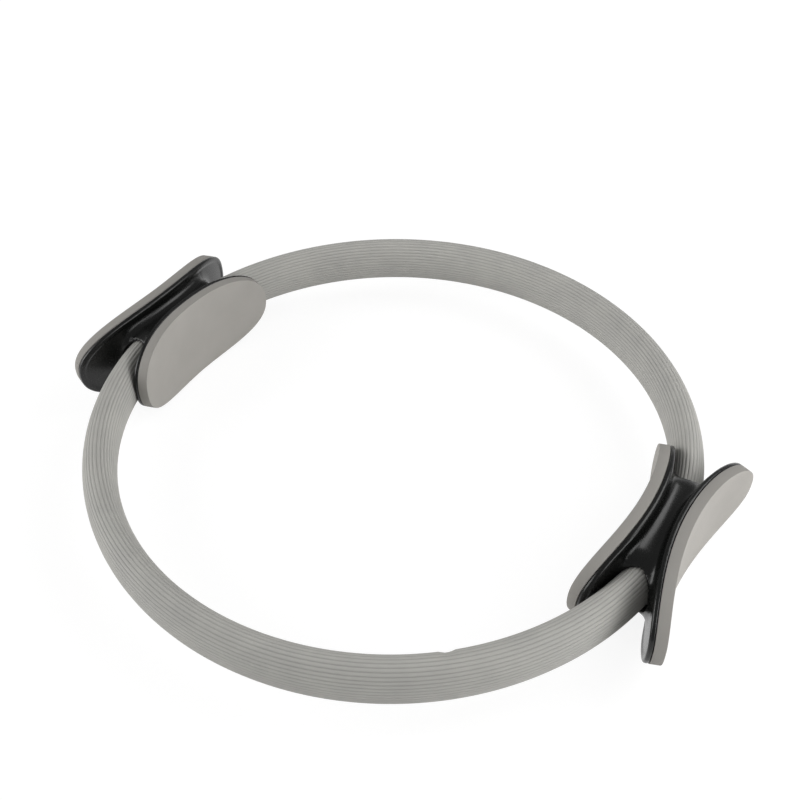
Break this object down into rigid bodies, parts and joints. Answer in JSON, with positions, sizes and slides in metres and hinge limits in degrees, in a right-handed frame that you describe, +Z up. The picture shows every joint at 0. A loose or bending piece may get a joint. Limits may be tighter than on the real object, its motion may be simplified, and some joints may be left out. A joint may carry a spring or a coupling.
{
  "type": "pilates ring",
  "caption": "Flexible hoop with a ribbed foam cover and two opposite flared handles padded inside and out, squeezed between hands, knees or ankles for resistance exercise.",
  "frame": {"origin": "centre of the ring, at mid height", "axes": "+X through both handles towards the right one, +Y from the front arc to the rear arc, +Z up, square to the ring's plane"},
  "size_m": [0.416, 0.38, 0.0612],
  "materials": {
    "sleeve_foam": "matte grey foam with fine ribs along the ring",
    "pad_foam": "matte warm grey closed-cell foam",
    "handle_plastic": "satin black moulded plastic",
    "band": "glass-fibre composite strip",
    "screw_steel": "zinc-plated steel"
  },
  "bodies": {
    "left_handle": {"left_inner_frame": "handle_plastic", "left_outer_frame": "handle_plastic", "left_inner_pad": "pad_foam", "left_outer_pad": "pad_foam", "left_screws": "screw_steel", "front_band": "band", "rear_band": "band"},
    "front_left_arc": {"front_left_sleeve": "sleeve_foam"},
    "front_right_arc": {"front_right_sleeve": "sleeve_foam"},
    "right_handle": {"right_inner_frame": "handle_plastic", "right_outer_frame": "handle_plastic", "right_inner_pad": "pad_foam", "right_outer_pad": "pad_foam", "right_screws": "screw_steel"},
    "rear_left_arc": {"rear_left_sleeve": "sleeve_foam"},
    "rear_right_arc": {"rear_right_sleeve": "sleeve_foam"}
  },
  "joints": [
    {"name": "squeeze", "type": "hinge", "parent": "left_handle", "child": "front_left_arc", "pos_m": [-0.17645, -0.03634, 0], "axis": [0, 0, -1], "range_deg": [0, 14], "stiffness_Nm_per_rad": 165, "deforming": ["front_band"]},
    {"name": "front_middle_flex", "type": "hinge", "parent": "front_left_arc", "child": "front_right_arc", "pos_m": [0, -0.17, 0], "axis": [0, 0, 1], "range_deg": [0, 28]},
    {"name": "front_right_flex", "type": "hinge", "parent": "front_right_arc", "child": "right_handle", "pos_m": [0.17645, -0.03634, 0], "axis": [0, 0, -1], "range_deg": [0, 14]},
    {"name": "rear_left_flex", "type": "hinge", "parent": "left_handle", "child": "rear_left_arc", "pos_m": [-0.17645, 0.03634, 0], "axis": [0, 0, 1], "range_deg": [0, 14], "deforming": ["rear_band"]},
    {"name": "rear_middle_flex", "type": "hinge", "parent": "rear_left_arc", "child": "rear_right_arc", "pos_m": [0, 0.17, 0], "axis": [0, 0, -1], "range_deg": [0, 28]}
  ],
  "couplings": [
    {"joint": "front_middle_flex", "follows": "squeeze", "ratio": 2},
    {"joint": "front_right_flex", "follows": "squeeze", "ratio": 1},
    {"joint": "rear_left_flex", "follows": "squeeze", "ratio": 1},
    {"joint": "rear_middle_flex", "follows": "squeeze", "ratio": 2}
  ]
}
